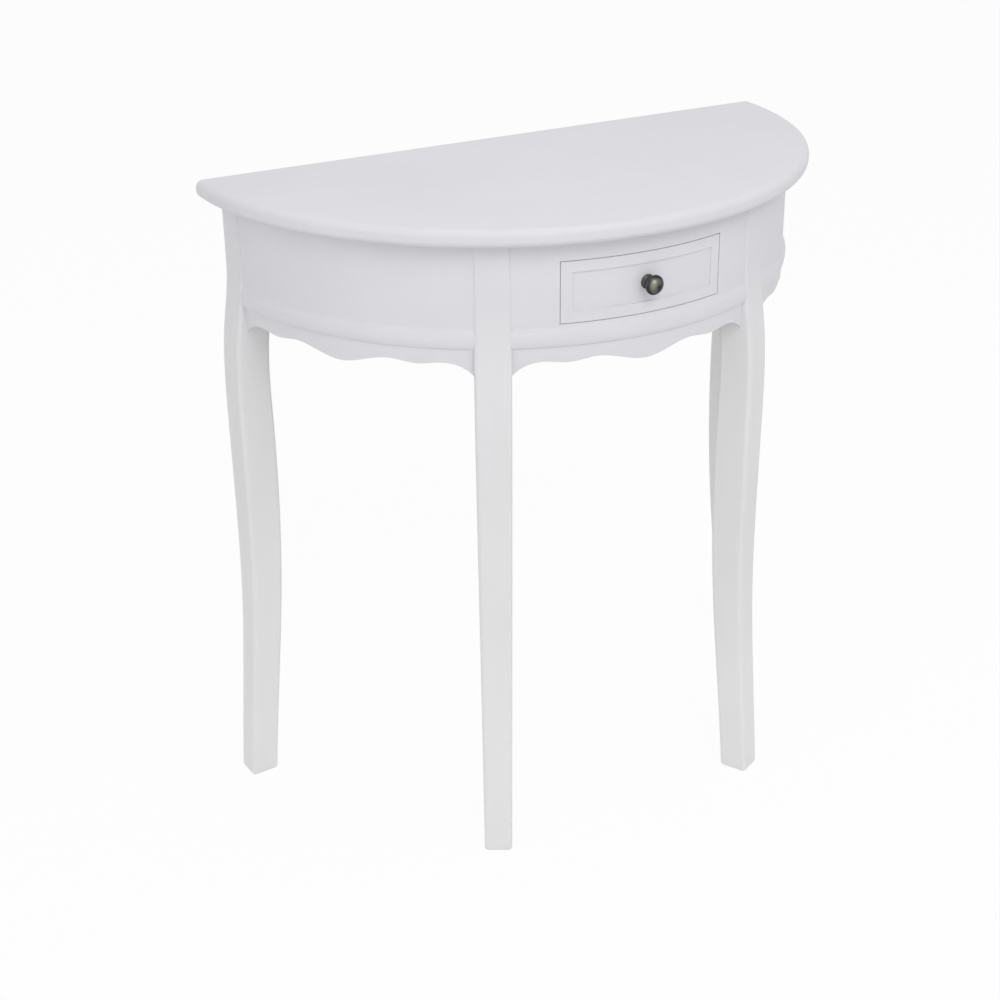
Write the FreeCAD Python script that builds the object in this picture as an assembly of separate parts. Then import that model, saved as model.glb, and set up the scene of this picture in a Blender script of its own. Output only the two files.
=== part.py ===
import FreeCAD, Part
import math
import os

# Half-round wall table: a semicircular top on four cabriole legs, three curved aprons
# with a scalloped lower edge and an applied bead, and one drawer in the front apron.
# Millimetres, Z up. The front faces -Y and the straight back edge lies along +Y.
# Pieces are drawn about the axis of the half round and moved to the middle of the depth at the end.

# Top
table_height = 760.0
top_radius = 374.0
top_thickness = 20.0
top_edge_round = 8.0

# Legs: the radial S curve is given as swells beyond the apron's face and depths behind them
leg_pitch = 56.5
leg_width = 40.5
leg_proud = 1.5
leg_block_depth = 44.5
leg_block_length = 72.0
knee_swell = 9.8
knee_depth = 41.4
knee_share = 0.782
waist_swell = 14.6
waist_depth = 42.6
waist_share = 0.63
shin_swell = 15.5
shin_depth = 39.4
shin_share = 0.335
foot_swell = 34.0
foot_depth = 35.3
foot_width = 32.5
foot_splay_share = 0.07
leg_corner_round = 4.5

# Aprons and their scalloped lower edge
top_overhang = 24.5
apron_thickness = 22.0
scallop_depth = 132.3
pendant_drop = 11.0
dip_drop = 3.3
outer_crest_drop = 1.0
bracket_drop = 19.0
crest_share = 0.40
dip_share = 0.61
outer_crest_share = 0.765
bracket_share = 1.02

# Bead along the aprons
bead_top_depth = 94.8
bead_height = 22.5
bead_proud = 4.0
bead_cove_height_share = 0.84
bead_cove_share = 0.32
bead_lip_share = 0.68
bead_lip_proud_share = 0.85
bead_nose_share = 0.36
bead_foot_share = 0.05
bead_foot_proud_share = 0.55

# Mortise and tenon joints
tenon_thickness = 8.0
tenon_length = 14.0
tenon_top_inset = 15.0
tenon_height = 70.0
joint_clearance = 0.2

# Back rail
rail_thickness = 20.0
rail_back_inset = 6.0

# Corner blocks and screws
block_height = 50.0
block_wing = 32.0
block_drawer_wing = 12.0
block_depth = 18.0
screw_radius = 2.2
screw_head_radius = 4.4
screw_head_height = 3.2
screw_clearance = 0.15
leg_screw_bite = 21.0
leg_screw_edge = 7.0
top_screw_bite = 12.0
top_screw_edge = 5.5

# Drawer opening and drawer front
drawer_width = 198.0
drawer_height = 67.6
drawer_gap = 0.8
drawer_top_depth = 24.0
drawer_end_thickness = 14.0
panel_border = 12.0
panel_recess = 2.0
panel_cove = 1.4

# Drawer box and grooved runners
side_thickness = 12.0
side_height = 58.0
side_inset = 3.0
side_lift = 3.5
bottom_thickness = 5.0
bottom_lift = 6.0
groove_depth = 5.0
slide_clearance = 0.5
stop_gap = 0.3
runner_wall = 10.0
runner_ledge = 10.0
runner_gap = 2.0

# Knob
knob_length = 19.0
knob_head_radius = 11.0
knob_neck_radius = 4.8
knob_base_radius = 6.3
knob_neck_share = 0.30
knob_rim_share = 0.58
rosette_radius = 8.1
rosette_thickness = 2.2
rosette_round = 1.2
knob_screw_radius = 2.0
knob_screw_head_radius = 4.0
knob_screw_head_height = 2.4
knob_screw_bite = 10.0

# Overrun of every cut past the faces that it opens, and a length that counts as none
overrun = 5.0
hair = 0.01

# Heights and radii that follow from these
apron_top = table_height - top_thickness
apron_radius = top_radius - top_overhang
apron_inner = apron_radius - apron_thickness
half_pitch = leg_pitch / 2
back_leg_angle = leg_pitch + half_pitch
block_out = apron_radius + leg_proud
block_in = block_out - leg_block_depth
block_foot_z = apron_top - leg_block_length
crest_z = apron_top - scallop_depth
bracket_z = crest_z - bracket_drop
leg_side_angle = math.degrees(math.asin(leg_width / 2 / apron_radius))
half_span = apron_radius * math.sin(math.radians(half_pitch - leg_side_angle))
tenon_mid = apron_radius - apron_thickness / 2
tenon_top_z = apron_top - tenon_top_inset
rail_front = rail_back_inset + rail_thickness
opening_top_z = apron_top - drawer_top_depth + drawer_gap
opening_height = drawer_height + 2 * drawer_gap
drawer_foot_z = apron_top - drawer_top_depth - drawer_height
side_foot_z = drawer_foot_z + side_lift
side_out = drawer_width / 2 - side_inset
side_in = side_out - side_thickness
runner_groove = side_out + slide_clearance
runner_out = runner_groove + runner_wall
drawer_end_radius = math.sqrt(apron_radius ** 2 - (drawer_width / 2) ** 2)
front_back = drawer_end_radius - drawer_end_thickness
bottom_z = side_foot_z + bottom_lift
panel_radius = apron_radius - panel_recess
knob_z = drawer_foot_z + drawer_height / 2

origin = FreeCAD.Vector(0, 0, 0)
up = FreeCAD.Vector(0, 0, 1)


def point(x, y, z):
    return FreeCAD.Vector(x, y, z)


def block(x0, x1, y0, y1, z0, z1):
    """Box between two opposite corners."""
    return Part.makeBox(x1 - x0, y1 - y0, z1 - z0, point(x0, y0, z0))


def turned(shape, angle):
    """Copy turned about the half round's axis; the angle runs from the front towards +X."""
    copy = shape.copy()
    copy.rotate(origin, up, angle)
    return copy


def mirrored(shape):
    """The same piece on the other side of the table."""
    return shape.mirror(origin, FreeCAD.Vector(1, 0, 0))


def face_of(edges):
    """Flat face inside a closed chain of curves."""
    return Part.Face(Part.Wire([edge.toShape() for edge in edges]))


def smooth(points, start, end):
    """Smooth curve through the points, leaving and arriving along two directions."""
    curve = Part.BSplineCurve()
    curve.interpolate(Points=points, InitialTangent=start, FinalTangent=end)
    return curve


def ring(r_in, r_out, z0, z1, span):
    """Part of a ring about the axis, with its middle at the front."""
    outer = Part.makeCylinder(r_out, z1 - z0, point(0, 0, z0), up, span)
    inner = Part.makeCylinder(r_in, z1 - z0, point(0, 0, z0), up, span)
    return turned(outer.cut(inner), -90 - span / 2)


def slot(half_width, r_in, angle):
    """Upright slot that runs outward from a radius, centred on a leg."""
    body = block(-half_width, half_width, -top_radius - overrun, -r_in, -overrun, table_height + overrun)
    return turned(body, angle)


def between_legs(shape, half_width):
    """An apron's blank cut back to a plane beside each of its two legs."""
    for angle in (-half_pitch, half_pitch):
        shape = shape.cut(slot(half_width, block_in - overrun, angle))
    return shape


def make_screw(length, grow):
    """Countersunk screw along +Z with its head's flat face at zero."""
    head = Part.makeCone(screw_head_radius + grow, screw_radius + grow, screw_head_height)
    shank = Part.makeCylinder(screw_radius + grow, length + grow)
    return head.fuse(shank).removeSplitter()


def leg_screw(sideways, grow):
    """Screw from a corner block's inner face outward into the leg at the front."""
    shape = make_screw(block_depth + leg_screw_bite, grow)
    shape.rotate(origin, FreeCAD.Vector(1, 0, 0), 90)
    shape.translate(point(sideways, -block_in + block_depth, apron_top - block_height / 2))
    return shape


def top_screw(sideways, grow):
    """Screw from a corner block's lower face up into the top."""
    shape = make_screw(block_height + top_screw_bite, grow)
    shape.translate(point(sideways, -block_in + top_screw_edge, apron_top - block_height))
    return shape


leg_screw_x = leg_width / 2 - leg_screw_edge
top_screw_x = block_wing - top_screw_edge


def all_four(front, back):
    """A front and a back piece, each turned to its leg on the right and mirrored to the left."""
    right = [turned(front, half_pitch), turned(back, back_leg_angle)]
    return right + [mirrored(shape) for shape in right]


def make_top():
    """Half-round board with both edges of its curve rounded over."""
    flat = top_radius - top_edge_round
    low = apron_top + top_edge_round
    high = table_height - top_edge_round
    in_round = top_edge_round * (1 - math.sqrt(1 / 2))
    edges = [
        Part.LineSegment(point(0, 0, apron_top), point(flat, 0, apron_top)),
        Part.Arc(point(flat, 0, apron_top), point(top_radius - in_round, 0, apron_top + in_round),
                 point(top_radius, 0, low)),
        Part.LineSegment(point(top_radius, 0, low), point(top_radius, 0, high)),
        Part.Arc(point(top_radius, 0, high), point(top_radius - in_round, 0, table_height - in_round),
                 point(flat, 0, table_height)),
        Part.LineSegment(point(flat, 0, table_height), point(0, 0, table_height)),
        Part.LineSegment(point(0, 0, table_height), point(0, 0, apron_top)),
    ]
    board = face_of(edges).revolve(origin, point(0, 0, -1), 180).removeSplitter()
    for hole in all_four(top_screw(top_screw_x, screw_clearance), top_screw(-top_screw_x, screw_clearance)):
        board = board.cut(hole)
    return board


def leg_profile():
    """Side view of a leg: a straight block above and the S curve of the cabriole below."""
    down = point(0, 0, -1)
    splay = point(0, -foot_splay_share, -1)
    stations = [
        (apron_radius + knee_swell, knee_depth, knee_share),
        (apron_radius + waist_swell, waist_depth, waist_share),
        (apron_radius + shin_swell, shin_depth, shin_share),
        (apron_radius + foot_swell, foot_depth, 0),
    ]
    outer = [point(0, -block_out, block_foot_z)]
    inner = [point(0, -block_in, block_foot_z)]
    for radius, depth, share in stations:
        outer.append(point(0, -radius, share * table_height))
        inner.append(point(0, depth - radius, share * table_height))
    return face_of([
        Part.LineSegment(point(0, -block_in, apron_top), point(0, -block_out, apron_top)),
        Part.LineSegment(point(0, -block_out, apron_top), outer[0]),
        smooth(outer, down, splay),
        Part.LineSegment(outer[-1], inner[-1]),
        smooth(inner[::-1], -splay, -down),
        Part.LineSegment(inner[0], point(0, -block_in, apron_top)),
    ])


def leg_front_view():
    """Front view of a leg: straight sides along the block, then a taper to the foot."""
    half, low = leg_width / 2, foot_width / 2
    down = point(0, 0, -1)
    right_taper = point(low - half, 0, -block_foot_z)
    left_taper = point(low - half, 0, block_foot_z)
    right = smooth([point(half, 0, block_foot_z), point(low, 0, 0)], down, right_taper)
    left = smooth([point(-low, 0, 0), point(-half, 0, block_foot_z)], left_taper, -down)
    return face_of([
        Part.LineSegment(point(-half, 0, apron_top), point(half, 0, apron_top)),
        Part.LineSegment(point(half, 0, apron_top), point(half, 0, block_foot_z)),
        right,
        Part.LineSegment(point(low, 0, 0), point(-low, 0, 0)),
        left,
        Part.LineSegment(point(-half, 0, block_foot_z), point(-half, 0, apron_top)),
    ])


def plain_leg():
    """Cabriole leg at the front, with its long corners and the foot's lower edges rounded."""
    side = leg_profile()
    side.translate(point(-leg_width / 2 - overrun, 0, 0))
    reach = apron_radius + foot_swell + overrun
    solid = side.extrude(point(leg_width + 2 * overrun, 0, 0))
    solid = solid.common(leg_front_view().extrude(point(0, -reach, 0)))
    solid = solid.Solids[0]
    edges = [e for e in solid.Edges if e.BoundBox.ZLength > leg_corner_round or e.BoundBox.ZMax < hair]
    return solid.makeFillet(leg_corner_round, edges)


def apron_mortises():
    """Sockets in both sides of the leg at the front for the aprons' tenons."""
    half = tenon_thickness / 2 + joint_clearance
    low = tenon_top_z - tenon_height - joint_clearance
    socket = ring(tenon_mid - half, tenon_mid + half, low, tenon_top_z + joint_clearance, leg_pitch)
    return socket.cut(slot(leg_width / 2 - tenon_length - joint_clearance, block_in - overrun, 0))


def rail_box(thickness, height, grow):
    """Straight bar along the back, centred on the back rail's thickness and height."""
    mid_y = -rail_front + rail_thickness / 2
    mid_z = apron_top - leg_block_length / 2
    half_t, half_h = thickness / 2 + grow, height / 2 + grow
    return block(-top_radius, top_radius, mid_y - half_t, mid_y + half_t, mid_z - half_h, mid_z + half_h)


def inside_back_legs(shape, radius):
    """A bar along the back cut at a plane across each back leg."""
    for angle in (-back_leg_angle, back_leg_angle):
        shape = shape.cut(slot(top_radius, radius, angle))
    return shape


def make_back_rail():
    """Back rail with a tenon at each end."""
    body = inside_back_legs(rail_box(rail_thickness, leg_block_length, 0), block_in)
    tenon = inside_back_legs(rail_box(tenon_thickness, tenon_height, 0), block_in + tenon_length)
    return body.fuse(tenon).removeSplitter()


def make_front_leg():
    """Front leg with sockets for both aprons and a hole for the corner block's screw."""
    return leg_blank.cut(apron_mortises()).cut(leg_screw(leg_screw_x, screw_clearance))


def make_back_leg():
    """Right back leg with a socket for the side apron on one side and one for the back rail."""
    sockets = apron_mortises().cut(block(0, top_radius, -top_radius, 0, 0, table_height))
    leg = leg_blank.cut(sockets).cut(leg_screw(-leg_screw_x, screw_clearance))
    rail = rail_box(tenon_thickness, tenon_height, joint_clearance)
    rail = inside_back_legs(rail, block_in + tenon_length + joint_clearance)
    return turned(leg, back_leg_angle).cut(rail)


def scallop_cutter():
    """Everything below the scalloped line of the apron at the front."""
    half = [
        (0, crest_z - pendant_drop),
        (crest_share * half_span, crest_z),
        (dip_share * half_span, crest_z - dip_drop),
        (outer_crest_share * half_span, crest_z - outer_crest_drop),
        (bracket_share * half_span, bracket_z),
    ]
    points = [point(-x, 0, z) for x, z in half[:0:-1]] + [point(x, 0, z) for x, z in half]
    line = Part.BSplineCurve()
    line.interpolate(points)
    low = bracket_z - overrun
    first, last = points[0], points[-1]
    cutter = face_of([
        line,
        Part.LineSegment(last, point(last.x, 0, low)),
        Part.LineSegment(point(last.x, 0, low), point(first.x, 0, low)),
        Part.LineSegment(point(first.x, 0, low), first),
    ])
    return cutter.extrude(point(0, -top_radius, 0))


def fitted(shape):
    """A curved piece fitted round the legs beside it."""
    shape = between_legs(shape, leg_width / 2 - leg_corner_round)
    for angle in (-half_pitch, half_pitch):
        shape = shape.cut(turned(leg_blank, angle))
    return shape


def plain_apron():
    """Curved apron at the front: tenoned ends and a scalloped lower edge."""
    body = fitted(ring(apron_inner, apron_radius, bracket_z, apron_top, leg_pitch))
    half = tenon_thickness / 2
    tenon = ring(tenon_mid - half, tenon_mid + half, tenon_top_z - tenon_height, tenon_top_z, leg_pitch)
    tenon = between_legs(tenon, leg_width / 2 - tenon_length)
    return body.cut(scallop_cutter()).fuse(tenon).removeSplitter()


def make_front_apron():
    """Front apron with the drawer's opening."""
    half = drawer_width / 2 + drawer_gap
    opening = block(-half, half, -top_radius, -front_back + apron_thickness + overrun,
                    opening_top_z - opening_height, opening_top_z)
    return plain_apron().cut(opening)


def make_bead():
    """Applied moulding on the front apron: a cove above a rounded nose."""
    top = apron_top - bead_top_depth
    foot = top - bead_height

    def at(proud_share, height_share):
        return point(0, -apron_radius - proud_share * bead_proud, foot + height_share * bead_height)

    cove_end = at(bead_lip_proud_share, bead_lip_share)
    nose_end = at(bead_foot_proud_share, bead_foot_share)
    section = face_of([
        Part.Arc(at(0, 1), at(bead_cove_share, bead_cove_height_share), cove_end),
        Part.Arc(cove_end, at(1, bead_nose_share), nose_end),
        Part.LineSegment(nose_end, at(0, 0)),
        Part.LineSegment(at(0, 0), at(0, 1)),
    ])
    return fitted(turned(section, -half_pitch).revolve(origin, up, leg_pitch))


def plain_corner_block(x_low, x_high, side):
    """Block that fits round the inner part of a leg, with both screw holes on one side of it."""
    blank = block(x_low, x_high, -apron_radius, block_depth - block_in, apron_top - block_height, apron_top)
    inside = Part.makeCylinder(apron_inner, table_height)
    blank = blank.common(inside).cut(slot(leg_width / 2, block_in, 0))
    blank = blank.cut(top_screw(side * top_screw_x, screw_clearance))
    return blank.cut(leg_screw(side * leg_screw_x, screw_clearance))


def make_front_block():
    """Corner block of the right front leg, kept clear of the drawer's runner."""
    piece = turned(plain_corner_block(-block_drawer_wing, block_wing, 1), half_pitch)
    return piece.cut(block(0, runner_out + runner_gap, -top_radius, 0, 0, table_height))


def make_back_block():
    """Corner block of the right back leg, cut off at the back rail's face."""
    piece = turned(plain_corner_block(-block_wing, 0, -1), back_leg_angle)
    return piece.cut(rail_box(rail_thickness, leg_block_length, 0))


def make_drawer_front():
    """Bowed drawer front with a flat back, a sunk field and a groove for the bottom."""
    half = drawer_width / 2
    low, high = drawer_foot_z, drawer_foot_z + drawer_height
    front = block(-half, half, -apron_radius, -front_back, low, high)
    front = front.common(Part.makeCylinder(apron_radius, table_height))
    field = block(panel_border - half, half - panel_border, -top_radius, -panel_radius + apron_thickness,
                  low + panel_border, high - panel_border)
    field = field.cut(Part.makeCylinder(panel_radius, table_height))
    front = front.cut(field)
    inner = [e for e in front.Edges if is_field_edge(e)]
    front = front.makeFillet(panel_cove, inner)
    groove = block(-side_in - groove_depth, side_in + groove_depth, -front_back - groove_depth, -front_back,
                   bottom_z, bottom_z + bottom_thickness + joint_clearance)
    return front.cut(groove).cut(knob_screw(joint_clearance))


def is_field_edge(edge):
    """Whether an edge bounds the sunk field of the drawer front."""
    for vertex in edge.Vertexes:
        if abs(math.hypot(vertex.X, vertex.Y) - panel_radius) > hair:
            return False
    return True


def make_drawer_side():
    """Right drawer side with a groove for the bottom."""
    side = block(side_in, side_out, -front_back, -rail_front - stop_gap,
                 side_foot_z, side_foot_z + side_height)
    groove = block(side_in - overrun, side_in + groove_depth, -front_back, -rail_front,
                   bottom_z, bottom_z + bottom_thickness + joint_clearance)
    return side.cut(groove)


def make_drawer_back():
    """Drawer back between the sides, standing on the bottom."""
    rear = -rail_front - stop_gap
    return block(-side_in, side_in, rear - side_thickness, rear, bottom_z + bottom_thickness,
                 side_foot_z + side_height)


def make_drawer_bottom():
    """Drawer bottom held in the grooves of the front and the sides."""
    half = side_in + groove_depth - joint_clearance
    return block(-half, half, -front_back - groove_depth + joint_clearance, -rail_front - stop_gap,
                 bottom_z, bottom_z + bottom_thickness)


def make_runner():
    """Right drawer runner: a board with a groove that guides the drawer side."""
    body = block(side_in, runner_out, -apron_radius, -rail_front, side_foot_z - runner_ledge, apron_top)
    groove = block(side_in - overrun, runner_groove, -top_radius, overrun, side_foot_z,
                   side_foot_z + side_height + slide_clearance)
    body = body.common(Part.makeCylinder(apron_inner, table_height)).cut(groove)
    return body.cut(slot(leg_width / 2 + runner_gap, block_in - runner_gap, half_pitch))


def on_knob_axis(shape, radius):
    """Moves a piece drawn along +Z so that it stands out from the drawer front."""
    shape.rotate(origin, FreeCAD.Vector(1, 0, 0), 90)
    shape.translate(point(0, -radius, knob_z))
    return shape


def knob_screw(grow):
    """Machine screw from inside the drawer through the front into the knob."""
    reach = panel_radius - front_back + rosette_thickness + knob_screw_bite
    head_foot = point(0, 0, -knob_screw_head_height)
    head = Part.makeCylinder(knob_screw_head_radius, knob_screw_head_height, head_foot)
    shank = Part.makeCylinder(knob_screw_radius + grow, reach + grow)
    return on_knob_axis(head.fuse(shank).removeSplitter(), front_back)


def make_rosette():
    """Round plate behind the knob."""
    plate = Part.makeCylinder(rosette_radius, rosette_thickness)
    rim = [e for e in plate.Edges if e.BoundBox.ZMin > rosette_thickness - hair]
    plate = plate.makeFillet(rosette_round, rim)
    return on_knob_axis(plate, panel_radius).cut(knob_screw(joint_clearance))


def make_knob():
    """Turned knob: a flared base, a narrow neck, a swelling shoulder and a domed face."""
    base = point(knob_base_radius, 0, 0)
    neck = point(knob_neck_radius, 0, knob_neck_share * knob_length)
    rim = point(knob_head_radius, 0, knob_rim_share * knob_length)
    tip = point(0, 0, knob_length)
    inward = point(-1, 0, 0)
    section = face_of([
        Part.LineSegment(origin, base),
        smooth([base, neck], inward, up),
        smooth([neck, rim], up, up),
        smooth([rim, tip], up, inward),
        Part.LineSegment(tip, origin),
    ])
    knob = section.revolve(origin, up, 360)
    return on_knob_axis(knob, panel_radius + rosette_thickness).cut(knob_screw(joint_clearance))


def save(name, shape):
    """Moves a piece from the half round's axis to the middle of the depth and writes it."""
    shape = shape.copy()
    shape.translate(point(0, top_radius / 2, 0))
    shape.exportStep("parts/" + name + ".step")


os.makedirs("parts", exist_ok=True)

save("top_panel", make_top())

leg_blank = plain_leg()
front_leg = turned(make_front_leg(), half_pitch)
back_leg = make_back_leg()
front_block = make_front_block()
back_block = make_back_block()
runner = make_runner()
drawer_side = make_drawer_side()
pairs = {
    "leg_front": front_leg,
    "leg_back": back_leg,
    "corner_block_front": front_block,
    "corner_block_back": back_block,
    "drawer_runner": runner,
    "drawer_side": drawer_side,
    "apron": turned(plain_apron(), leg_pitch),
    "bead": turned(make_bead(), leg_pitch),
}
for name, shape in pairs.items():
    save(name + "_right", shape)
    save(name + "_left", mirrored(shape))

save("apron_front", make_front_apron())
save("bead_front", make_bead())
save("back_rail", make_back_rail())
save("leg_screws", Part.makeCompound(all_four(leg_screw(leg_screw_x, 0), leg_screw(-leg_screw_x, 0))))
save("top_screws", Part.makeCompound(all_four(top_screw(top_screw_x, 0), top_screw(-top_screw_x, 0))))

save("drawer_front", make_drawer_front())
save("drawer_back", make_drawer_back())
save("drawer_bottom", make_drawer_bottom())
save("knob_rosette", make_rosette())
save("knob", make_knob())
save("knob_screw", knob_screw(0))
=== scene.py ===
import math

import bmesh
import bpy
import numpy as np
from mathutils import Matrix, Vector


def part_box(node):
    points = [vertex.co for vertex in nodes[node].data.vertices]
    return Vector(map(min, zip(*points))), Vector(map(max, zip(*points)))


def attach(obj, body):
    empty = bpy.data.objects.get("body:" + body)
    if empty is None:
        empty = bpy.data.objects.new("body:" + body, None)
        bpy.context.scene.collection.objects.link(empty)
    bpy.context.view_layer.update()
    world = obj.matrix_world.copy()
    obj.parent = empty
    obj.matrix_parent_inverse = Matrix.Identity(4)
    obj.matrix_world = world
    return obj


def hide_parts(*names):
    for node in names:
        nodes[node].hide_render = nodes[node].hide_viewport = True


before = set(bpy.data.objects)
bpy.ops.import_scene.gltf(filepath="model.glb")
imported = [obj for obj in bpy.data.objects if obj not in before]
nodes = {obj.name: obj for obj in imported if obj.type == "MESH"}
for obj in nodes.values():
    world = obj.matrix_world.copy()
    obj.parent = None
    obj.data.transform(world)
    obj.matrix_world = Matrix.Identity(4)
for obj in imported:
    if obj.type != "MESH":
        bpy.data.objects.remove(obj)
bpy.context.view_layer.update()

# Half round: its axis stands at the middle of the top's straight back edge
axis_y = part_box("top_panel")[1].y

# Knob and the plate behind it: outlines as shares of the length and of the widest radius, each with
# how far the dark patina is rubbed off there together with a painted highlight on the rims and the crown, and
# the side painted lighter as a reflection of bright surroundings
knob_outline = [
    (0.00, 0.00, 0.2), (0.00, 0.60, 0.3), (0.05, 0.64, 0.6), (0.10, 0.56, 0.2), (0.18, 0.43, 0.0),
    (0.29, 0.40, 0.0), (0.35, 0.44, 0.1), (0.37, 0.56, 0.6), (0.42, 0.60, 0.8), (0.46, 0.56, 0.4),
    (0.47, 0.64, 0.1), (0.52, 0.86, 0.3), (0.57, 0.98, 0.6), (0.62, 1.00, 0.6), (0.68, 0.98, 0.3),
    (0.74, 0.92, 0.3), (0.78, 0.85, 0.2), (0.80, 0.80, 0.3), (0.86, 0.72, 0.9), (0.94, 0.52, 1.0),
    (1.00, 0.28, 0.9), (1.00, 0.00, 0.6),
]
plate_outline = [
    (0.00, 0.00, 0.1), (0.00, 1.00, 0.2), (0.30, 1.00, 0.4), (0.52, 0.98, 0.6), (0.60, 0.90, 0.3),
    (0.66, 0.90, 0.3), (0.95, 0.80, 0.6), (1.00, 0.72, 0.4), (1.00, 0.00, 0.1),
]
outline_passes = 2
corner_share = 0.25
turn_steps = 96
turned_edge = math.radians(50)
# Painted reflection: the side of the turn painted lighter, and the share by which the sheen swings from it to
# the darker opposite side
rub_side = math.radians(150)
rub_swing = 0.45

# Screws: distance from the head's face and radius, from the middle of the face to the start of the
# shank, and how many corners out the face ends
countersunk_head = [(0.0, 0.0), (0.0, 0.0044), (0.0032, 0.0022)]
countersunk_face = 1
round_head = [
    (0.0, 0.0), (0.0002, 0.0022), (0.0008, 0.0034), (0.0016, 0.0040), (0.0024, 0.0040), (0.0024, 0.0020),
]
round_face = 3
face_rows = 36
screw_edge = math.radians(35)
corner_digits = 6

# Cross in a screw's head: each first bar is square to one slanting direction, so the heads stand turned
cross_reach, cross_half_width, cross_wall, cross_depth = 0.0026, 0.0006, 0.00035, 0.0013
cross_slant = (0.3, 0.5, 0.8)

merge_reach = 1e-7


def corner_cut(outline, passes):
    """Smooth outline: each pass replaces every corner by two points a quarter of the way along its edges."""
    points = np.array(outline, float)
    for _ in range(passes):
        near = (1 - corner_share) * points[:-1] + corner_share * points[1:]
        far = corner_share * points[:-1] + (1 - corner_share) * points[1:]
        inner = np.stack([near, far], axis=1).reshape(-1, points.shape[1])
        points = np.vstack([points[:1], inner[1:-1], points[-1:]])
    return points


def mesh_piece(name, points, faces, sharp_angle, **values):
    """Object at the origin from points, faces and any values at each point, with doubles merged and
    faces turned outwards."""
    mesh = bpy.data.meshes.new(name)
    mesh.from_pydata(points.tolist(), [], faces.tolist())
    for kind, value in values.items():
        mesh.attributes.new(kind, "FLOAT", "POINT").data.foreach_set("value", value.astype(np.float32))
    work = bmesh.new()
    work.from_mesh(mesh)
    bmesh.ops.remove_doubles(work, verts=work.verts, dist=merge_reach)
    bmesh.ops.recalc_face_normals(work, faces=work.faces)
    work.to_mesh(mesh)
    work.free()
    mesh.polygons.foreach_set("use_smooth", np.ones(len(mesh.polygons), dtype=bool))
    mesh.set_sharp_from_angle(angle=sharp_angle)
    piece = bpy.data.objects.new(name, mesh)
    bpy.context.scene.collection.objects.link(piece)
    return piece


def grid_faces(rows, columns):
    """Quads between neighbouring points of a grid whose last column joins its first."""
    row, column = np.meshgrid(np.arange(rows - 1), np.arange(columns), indexing="ij")
    next_column = (column + 1) % columns
    quads = np.stack([
        row * columns + column, row * columns + next_column,
        (row + 1) * columns + next_column, (row + 1) * columns + column,
    ], axis=-1)
    return quads.reshape(-1, 4)


def turned_piece(name, node, outline):
    """Turned piece in the box of a node on the knob's axis: at each outline point the radius is carried once
    round the axis, so a point is the axis point at that distance plus the radius times (cosine, sine)
    of the turn. The rub and painted sheen is the outline's, more on the side painted lighter as a reflection
    of bright surroundings and less on the opposite one, painted darker as a reflection: it grows and shrinks
    by a share that follows the cosine of the turn from that side."""
    low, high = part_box(node)
    outline = corner_cut(outline, outline_passes)
    reach = high.y - low.y
    widest = (high.x - low.x) / 2
    turn = np.linspace(0, 2 * math.pi, turn_steps, endpoint=False)
    radius = outline[:, 1, None] * widest
    x = radius * np.cos(turn)
    y = np.broadcast_to(high.y - outline[:, 0, None] * reach, x.shape)
    z = (low.z + high.z) / 2 + radius * np.sin(turn)
    points = np.stack([x, y, z], axis=-1).reshape(-1, 3)
    # Painted reflection: lighter on one side of the turn and darker on the opposite one, over the outline's
    # patina and painted highlight
    rub = (outline[:, 2, None] * (1 - rub_swing + rub_swing * np.cos(turn - rub_side))).reshape(-1)
    return mesh_piece(name, points, grid_faces(len(outline), turn_steps), turned_edge, rub=rub)


def screw_places(node, apart):
    """Middle of each screw's head, its axis from head to tip, and the screws' length. Corners of the node's
    mesh are sorted into quarters of the table where its screws stand apart, the axis is the longest
    direction of a quarter's corners, and the head is at the end where they are furthest from that axis."""
    mesh = nodes[node].data
    corners = np.empty(3 * len(mesh.vertices), np.float32)
    mesh.vertices.foreach_get("co", corners)
    corners = np.unique(corners.reshape(-1, 3).astype(float).round(corner_digits), axis=0)
    quarter = apart * ((corners[:, 0] > 0) + 2 * (corners[:, 1] > corners[:, 1].mean()))
    heads, axes = [], []
    for number in np.unique(quarter):
        group = corners[quarter == number]
        middle = group.mean(axis=0)
        axis = np.linalg.svd(group - middle, full_matrices=False)[2][0]
        along = (group - middle) @ axis
        width = np.linalg.norm(group - middle - along[:, None] * axis, axis=1)
        axis = -np.sign(along[width.argmax()]) * axis
        along = (group - middle) @ axis
        heads.append(middle + along.min() * axis)
        axes.append(axis)
    return np.array(heads), np.array(axes), np.ptp(along)


def cross_sink(x, y):
    """Depth of a cross on a screw's face: full within two crossing bars, whose edges slope up to the face."""
    across, along = np.minimum(abs(x), abs(y)), np.maximum(abs(x), abs(y))
    inside = np.minimum(cross_half_width - across, cross_reach - along)
    return cross_depth * np.clip(inside / cross_wall, 0, 1)


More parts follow.
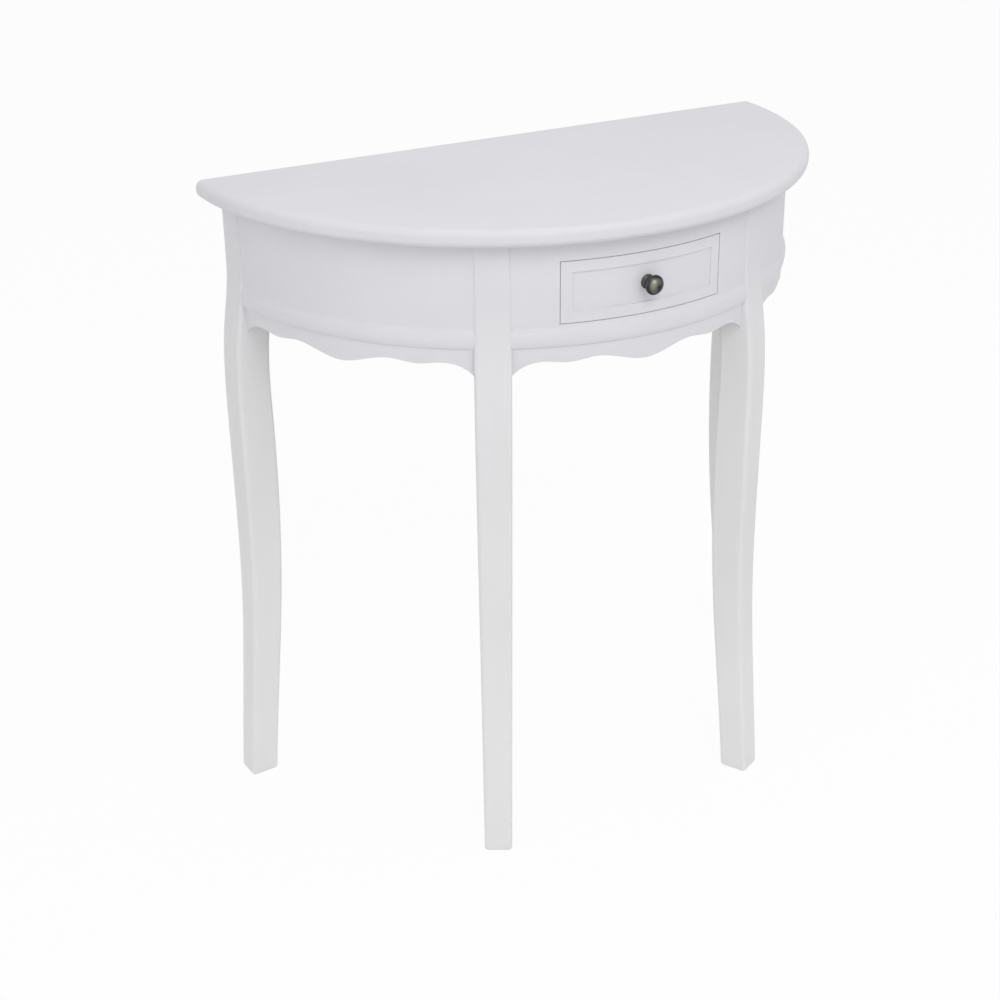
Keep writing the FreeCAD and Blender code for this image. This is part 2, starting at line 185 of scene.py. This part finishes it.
def cross_screws(name, node, apart, head_outline, face_end):
    """Screws with a cross in the head: the outline's radius is carried round each screw's axis, so a point is
    the head's middle plus its distance along the axis plus the radius times (cosine, sine) of the turn
    in two directions across it, and on the face the distance grows by the depth of the cross."""
    heads, axes, length = screw_places(node, apart)
    shank_radius = head_outline[-1][1]
    outline = np.array(head_outline + [(length, shank_radius), (length, 0.0)])
    corner = np.arange(len(outline))
    step = np.concatenate([np.linspace(0, face_end, face_rows), corner[face_end + 1:]])
    turn = np.linspace(0, 2 * math.pi, turn_steps, endpoint=False)
    radius = np.interp(step, corner, outline[:, 1])[:, None]
    x, y = radius * np.cos(turn), radius * np.sin(turn)
    sunk = cross_sink(x, y) * (step <= face_end)[:, None]
    distance = np.interp(step, corner, outline[:, 0])[:, None] + sunk
    across = np.cross(axes, cross_slant)
    across /= np.linalg.norm(across, axis=1)[:, None]
    sides = np.stack([across, np.cross(axes, across), axes], axis=1)
    points = heads[:, None] + np.stack([x, y, distance], axis=-1).reshape(-1, 3) @ sides
    faces = grid_faces(len(step), turn_steps) + x.size * np.arange(len(heads))[:, None, None]
    return mesh_piece(name, points.reshape(-1, 3), faces.reshape(-1, 4), screw_edge)


class Finish:
    """Procedural material: a node tree on one shader, with patterns on the object's own coordinates."""

    def __init__(self, name):
        self.material = bpy.data.materials.new(name)
        self.material.use_nodes = True
        self.tree = self.material.node_tree
        self.shader = self.tree.nodes["Principled BSDF"]
        self.place = self.tree.nodes.new("ShaderNodeTexCoord").outputs["Object"]

    def link(self, out, socket):
        self.tree.links.new(out, socket)

    def stretched(self, scale):
        """Object coordinates stretched along each axis."""
        node = self.tree.nodes.new("ShaderNodeMapping")
        node.inputs["Scale"].default_value = scale
        self.link(self.place, node.inputs["Vector"])
        return node.outputs["Vector"]

    def height(self):
        """Height above the floor."""
        node = self.tree.nodes.new("ShaderNodeSeparateXYZ")
        self.link(self.place, node.inputs[0])
        return node.outputs["Z"]

    def noise(self, where, scale, detail, roughness=0.5, distortion=0.0):
        node = self.tree.nodes.new("ShaderNodeTexNoise")
        node.inputs["Scale"].default_value = scale
        node.inputs["Detail"].default_value = detail
        node.inputs["Roughness"].default_value = roughness
        node.inputs["Distortion"].default_value = distortion
        self.link(where, node.inputs["Vector"])
        return node.outputs["Fac"]

    def attribute(self, name):
        """A number that the piece's own points carry."""
        node = self.tree.nodes.new("ShaderNodeAttribute")
        node.attribute_name = name
        return node.outputs["Fac"]

    def sum(self, first, second):
        node = self.tree.nodes.new("ShaderNodeMath")
        node.operation = "ADD"
        self.link(first, node.inputs[0])
        self.link(second, node.inputs[1])
        return node.outputs[0]

    def ramp(self, value, *stops):
        """Colours at positions, blended between."""
        node = self.tree.nodes.new("ShaderNodeValToRGB")
        elements = node.color_ramp.elements
        while len(elements) < len(stops):
            elements.new(0.5)
        for element, (position, colour) in zip(elements, stops):
            element.position = position
            element.color = (*colour, 1.0)
        self.link(value, node.inputs["Fac"])
        return node.outputs["Color"]

    def span(self, value, low, high):
        """A zero-to-one pattern carried to a range of numbers."""
        node = self.tree.nodes.new("ShaderNodeMapRange")
        node.inputs["To Min"].default_value = low
        node.inputs["To Max"].default_value = high
        self.link(value, node.inputs["Value"])
        return node.outputs["Result"]

    def tinted(self, colour, tint, share=1.0):
        """A colour multiplied by a tint, in part where the share is below one."""
        node = self.tree.nodes.new("ShaderNodeMix")
        node.data_type = "RGBA"
        node.blend_type = "MULTIPLY"
        node.inputs[0].default_value = share
        self.link(colour, node.inputs[6])
        self.link(tint, node.inputs[7])
        return node.outputs[2]

    def bump(self, height, distance, strength, under=None):
        """A pattern raised from the surface, over another bump where one is given."""
        node = self.tree.nodes.new("ShaderNodeBump")
        node.inputs["Distance"].default_value = distance
        node.inputs["Strength"].default_value = strength
        self.link(height, node.inputs["Height"])
        if under is not None:
            self.link(under, node.inputs["Normal"])
        return node.outputs["Normal"]

    def set(self, **values):
        """Sets the shader's sockets, by a link or by a number, and gives the material."""
        for name, value in values.items():
            socket = self.shader.inputs[name.replace("_", " ")]
            if isinstance(value, bpy.types.NodeSocket):
                self.link(value, socket)
            else:
                socket.default_value = value
        return self.material


untinted = (1.0, 1.0, 1.0)


def satin_paint(name, grain_scale, dull, bright, *tint_and_painted_shade):
    """White satin paint over wood: cloudy tint, faint grain under the coat and a fine sprayed texture.
    Tint and painted shade at heights, where given, are how the colour drifts from the foot of a piece to its
    head: a cooler tint, and painted shade that darkens towards the head for light that falls more on the
    foot."""
    f = Finish(name)
    cloud = f.noise(f.place, scale=5.0, detail=3.0)
    grain = f.noise(f.stretched(grain_scale), scale=1.0, detail=5.0, roughness=0.6, distortion=0.3)
    spray = f.noise(f.place, scale=650.0, detail=2.0)
    tint = f.ramp(cloud, (0.30, dull), (0.70, bright))
    # Where given, a ramp over height multiplies the tint: a cooler tint, and painted shade darkening towards
    # the head of the piece
    if tint_and_painted_shade:
        tint = f.tinted(tint, f.ramp(f.height(), *tint_and_painted_shade))
    streak = f.ramp(grain, (0.30, (0.988, 0.988, 0.989)), (0.62, untinted))
    normal = f.bump(grain, distance=0.0003, strength=0.06)
    normal = f.bump(spray, distance=0.0003, strength=0.06, under=normal)
    return f.set(
        Base_Color=f.tinted(tint, streak),
        Roughness=f.span(spray, low=0.48, high=0.60),
        Normal=normal,
        Specular_IOR_Level=0.28,
    )


def bare_wood(name, grain_scale):
    """Planed pale wood: growth bands bent by a slow noise, fine fibres along the grain, dark pores."""
    f = Finish(name)
    along = f.stretched(grain_scale)
    bands = f.noise(along, scale=1.0, detail=2.0, distortion=1.6)
    fibres = f.noise(along, scale=7.0, detail=6.0, roughness=0.7)
    pores = f.noise(along, scale=16.0, detail=3.0, roughness=0.6)
    colour = f.ramp(
        bands,
        (0.30, (0.50, 0.33, 0.18)), (0.48, (0.62, 0.45, 0.27)),
        (0.62, (0.55, 0.38, 0.21)), (0.78, (0.66, 0.50, 0.31)),
    )
    fibre_tint = f.ramp(fibres, (0.30, (0.86, 0.84, 0.82)), (0.65, untinted))
    pore_tint = f.ramp(pores, (0.30, (0.78, 0.72, 0.66)), (0.40, untinted))
    colour = f.tinted(colour, fibre_tint, share=0.9)
    return f.set(
        Base_Color=f.tinted(colour, pore_tint, share=0.6),
        Roughness=f.span(fibres, low=0.55, high=0.75),
        Normal=f.bump(fibres, distance=0.0004, strength=0.35),
    )


def aged_brass():
    """Dark bronzed brass: nearly black in the grooves, rubbed to olive on the crown and the rings with a
    painted highlight there, painted lighter on one side and darker on the other as a reflection, with a
    cloudy patina and fine pits."""
    f = Finish("aged_brass")
    cloud = f.noise(f.place, scale=160.0, detail=4.0, roughness=0.6)
    pits = f.noise(f.place, scale=900.0, detail=3.0, roughness=0.6)
    # Real patina dark in the grooves, with a painted highlight on the crown and rings and a painted
    # reflection lighter on one side
    bare_and_sheen = f.sum(f.attribute("rub"), f.span(cloud, low=-0.16, high=0.16))
    colour = f.ramp(
        bare_and_sheen,
        (0.00, (0.014, 0.014, 0.015)), (0.25, (0.055, 0.056, 0.058)), (0.50, (0.125, 0.126, 0.128)),
        (0.66, (0.140, 0.120, 0.080)), (0.95, (0.260, 0.262, 0.205)),
    )
    return f.set(
        Base_Color=colour,
        Metallic=1.0,
        Roughness=f.span(cloud, low=0.30, high=0.48),
        Normal=f.bump(pits, distance=0.0002, strength=0.10),
    )


def zinc_steel():
    """Bright zinc on steel screws: patchy tone and fine level scratches."""
    f = Finish("zinc_steel")
    patch = f.noise(f.place, scale=220.0, detail=3.0)
    scratch = f.noise(f.stretched((300.0, 300.0, 2500.0)), scale=1.0, detail=2.0)
    return f.set(
        Base_Color=f.ramp(patch, (0.35, (0.50, 0.50, 0.51)), (0.65, (0.66, 0.66, 0.68))),
        Metallic=1.0,
        Roughness=f.span(patch, low=0.28, high=0.44),
        Normal=f.bump(scratch, distance=0.0001, strength=0.15),
    )


def dress(finish, *names):
    """Gives CAD nodes a finish."""
    for name in names:
        nodes[name].data.materials.clear()
        nodes[name].data.materials.append(finish)


def add_piece(piece, finish, body, node):
    """Gives a piece its finish, lets it ride on its body, hides the node that it stands for and gives that
    node the same finish.
    """
    piece.data.materials.append(finish)
    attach(piece, body)
    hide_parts(node)
    dress(finish, node)


# Paint: along the legs the grain stands upright, and the tint turns cooler towards the skirt. The legs' paint
# is painted lighter than the level paint at the foot and darker towards the skirt, painted light and shade
# for light that falls more on the lower legs
upright_paint = satin_paint(
    "satin_paint_upright", (55.0, 55.0, 2.2), (0.775, 0.775, 0.785), (0.801, 0.801, 0.811),
    (0.12, untinted), (0.35, (0.965, 0.965, 0.965)),
    (0.58, (0.950, 0.949, 0.953)), (0.67, (0.905, 0.899, 0.924)),
)
level_paint = satin_paint(
    "satin_paint_level", (2.2, 70.0, 70.0), (0.698, 0.691, 0.724), (0.724, 0.717, 0.750),
)
dress(upright_paint, "leg_front_left", "leg_front_right", "leg_back_left", "leg_back_right")
dress(level_paint, "top_panel", "apron_left", "apron_front", "apron_right", "bead_left", "bead_front",
      "bead_right", "back_rail", "drawer_front")

# Wood: the grain runs from front to back, from side to side or upright
wood_deep = bare_wood("bare_wood_deep", (60.0, 2.4, 60.0))
wood_wide = bare_wood("bare_wood_wide", (2.4, 60.0, 60.0))
wood_upright = bare_wood("bare_wood_upright", (70.0, 70.0, 3.0))
dress(wood_deep, "drawer_side_left", "drawer_side_right", "drawer_runner_left", "drawer_runner_right")
dress(wood_wide, "drawer_back", "drawer_bottom")
dress(wood_upright, "corner_block_front_left", "corner_block_front_right",
      "corner_block_back_left", "corner_block_back_right")

# Metal
brass = aged_brass()
steel = zinc_steel()
knob = turned_piece("turned_knob", "knob", knob_outline)
plate = turned_piece("turned_plate", "knob_rosette", plate_outline)
leg_screws = cross_screws("cross_leg_screws", "leg_screws", True, countersunk_head, countersunk_face)
top_screws = cross_screws("cross_top_screws", "top_screws", True, countersunk_head, countersunk_face)
knob_screw = cross_screws("cross_knob_screw", "knob_screw", False, round_head, round_face)
add_piece(knob, brass, "drawer", "knob")
add_piece(plate, brass, "drawer", "knob_rosette")
add_piece(leg_screws, steel, "frame", "leg_screws")
add_piece(top_screws, steel, "frame", "top_screws")
add_piece(knob_screw, steel, "drawer", "knob_screw")

# Camera: where it stands is given by the point it looks at, two angles, a roll and a distance
look_at = Vector((-0.08, axis_y - 0.15, 0.376))
view_azimuth = math.radians(-27.7506)
view_elevation = math.radians(25.422)
view_roll = math.radians(-0.6685)
view_distance = 2.1521
sensor_width = 36.0
lens = 64.342
frame_shift = (0.0036, -0.012)

# Floor and light: the glow is the share of the seen floor that is its own even white, and the walls'
# head and the ceiling's start are heights of a direction, from zero when level to one when upright
floor_reach = 14.0
floor_drop = 0.0003
floor_white = 0.92
seen_glow = 0.94
wall_light = 0.92
wall_head, ceiling_start = 0.75, 0.85
lamp_size = 1.4
lamp_aim = Vector((0, 0, 0.35))
lamps = {
    "ceiling_lamp": ((0.0, -0.10, 3.00), 12.0),
    "key_lamp": ((-0.28, -1.78, 2.30), 15.5),
    "fill_lamp": ((-2.10, -0.50, 1.00), 2.2),
}


def add_camera():
    """Camera whose axes are worked out from the two viewing angles, then rolled about its line of sight."""
    back = Vector((
        math.sin(view_azimuth) * math.cos(view_elevation),
        -math.cos(view_azimuth) * math.cos(view_elevation),
        math.sin(view_elevation),
    ))
    right = Vector((0, 0, 1)).cross(back).normalized()
    up = back.cross(right)
    rolled_right = math.cos(view_roll) * right + math.sin(view_roll) * up
    rolled_up = math.cos(view_roll) * up - math.sin(view_roll) * right
    data = bpy.data.cameras.new("camera")
    data.sensor_width = sensor_width
    data.lens = lens
    data.shift_x, data.shift_y = frame_shift
    camera = bpy.data.objects.new("camera", data)
    bpy.context.scene.collection.objects.link(camera)
    turn = Matrix((rolled_right, rolled_up, back)).transposed().to_4x4()
    camera.matrix_world = Matrix.Translation(look_at + view_distance * back) @ turn
    bpy.context.scene.camera = camera


def seen_ray(tree):
    """One where a ray comes from the camera, a mirror or a glass, and zero where it only carries light."""
    path = tree.nodes.new("ShaderNodeLightPath")
    first = tree.nodes.new("ShaderNodeMath")
    second = tree.nodes.new("ShaderNodeMath")
    first.operation = second.operation = "MAXIMUM"
    tree.links.new(path.outputs["Is Camera Ray"], first.inputs[0])
    tree.links.new(path.outputs["Is Glossy Ray"], first.inputs[1])
    tree.links.new(first.outputs[0], second.inputs[0])
    tree.links.new(path.outputs["Is Transmission Ray"], second.inputs[1])
    return second.outputs[0]


def add_floor():
    """Pale floor that keeps a soft shadow: part of what is seen of it is its own even white."""
    mesh = bpy.data.meshes.new("floor")
    corners = [(-floor_reach, -floor_reach), (floor_reach, -floor_reach),
               (floor_reach, floor_reach), (-floor_reach, floor_reach)]
    mesh.from_pydata([(x, y, -floor_drop) for x, y in corners], [], [(0, 1, 2, 3)])
    floor = bpy.data.objects.new("floor", mesh)
    bpy.context.scene.collection.objects.link(floor)
    material = bpy.data.materials.new("pale_floor")
    material.use_nodes = True
    tree = material.node_tree
    tree.nodes.remove(tree.nodes["Principled BSDF"])
    matt = tree.nodes.new("ShaderNodeBsdfDiffuse")
    matt.inputs["Color"].default_value = (floor_white, floor_white, floor_white, 1.0)
    glow = tree.nodes.new("ShaderNodeEmission")
    share = tree.nodes.new("ShaderNodeMath")
    share.operation = "MULTIPLY"
    share.inputs[1].default_value = seen_glow
    mix = tree.nodes.new("ShaderNodeMixShader")
    tree.links.new(seen_ray(tree), share.inputs[0])
    tree.links.new(share.outputs[0], mix.inputs["Fac"])
    tree.links.new(matt.outputs[0], mix.inputs[1])
    tree.links.new(glow.outputs[0], mix.inputs[2])
    tree.links.new(mix.outputs[0], tree.nodes["Material Output"].inputs["Surface"])
    mesh.materials.append(material)


def add_sky():
    """Soft studio light from bright walls under a dark ceiling, seen as plain white."""
    world = bpy.data.worlds.new("studio")
    bpy.context.scene.world = world
    world.use_nodes = True
    tree = world.node_tree
    place = tree.nodes.new("ShaderNodeTexCoord")
    split = tree.nodes.new("ShaderNodeSeparateXYZ")
    ramp = tree.nodes.new("ShaderNodeValToRGB")
    ramp.color_ramp.elements[0].position = wall_head
    ramp.color_ramp.elements[0].color = (1.0, 1.0, 1.0, 1.0)
    ramp.color_ramp.elements[1].position = ceiling_start
    ramp.color_ramp.elements[1].color = (0.0, 0.0, 0.0, 1.0)
    light = tree.nodes["Background"]
    light.inputs["Strength"].default_value = wall_light
    white = tree.nodes.new("ShaderNodeBackground")
    white.inputs["Color"].default_value = (1.0, 1.0, 1.0, 1.0)
    mix = tree.nodes.new("ShaderNodeMixShader")
    tree.links.new(place.outputs["Generated"], split.inputs[0])
    tree.links.new(split.outputs["Z"], ramp.inputs["Fac"])
    tree.links.new(ramp.outputs["Color"], light.inputs["Color"])
    tree.links.new(seen_ray(tree), mix.inputs["Fac"])
    tree.links.new(light.outputs[0], mix.inputs[1])
    tree.links.new(white.outputs[0], mix.inputs[2])
    tree.links.new(mix.outputs[0], tree.nodes["World Output"].inputs["Surface"])


def add_lamp(name, place, power):
    """Large soft lamp turned towards the table."""
    data = bpy.data.lights.new(name, "AREA")
    data.shape = "DISK"
    data.size = lamp_size
    data.energy = power
    lamp = bpy.data.objects.new(name, data)
    bpy.context.scene.collection.objects.link(lamp)
    aim = lamp_aim - Vector(place)
    lamp.matrix_world = Matrix.Translation(place) @ aim.to_track_quat("-Z", "Y").to_matrix().to_4x4()


add_camera()
add_floor()
add_sky()
for lamp_name, (lamp_place, lamp_power) in lamps.items():
    add_lamp(lamp_name, lamp_place, lamp_power)

bpy.context.scene.view_settings.view_transform = "Standard"
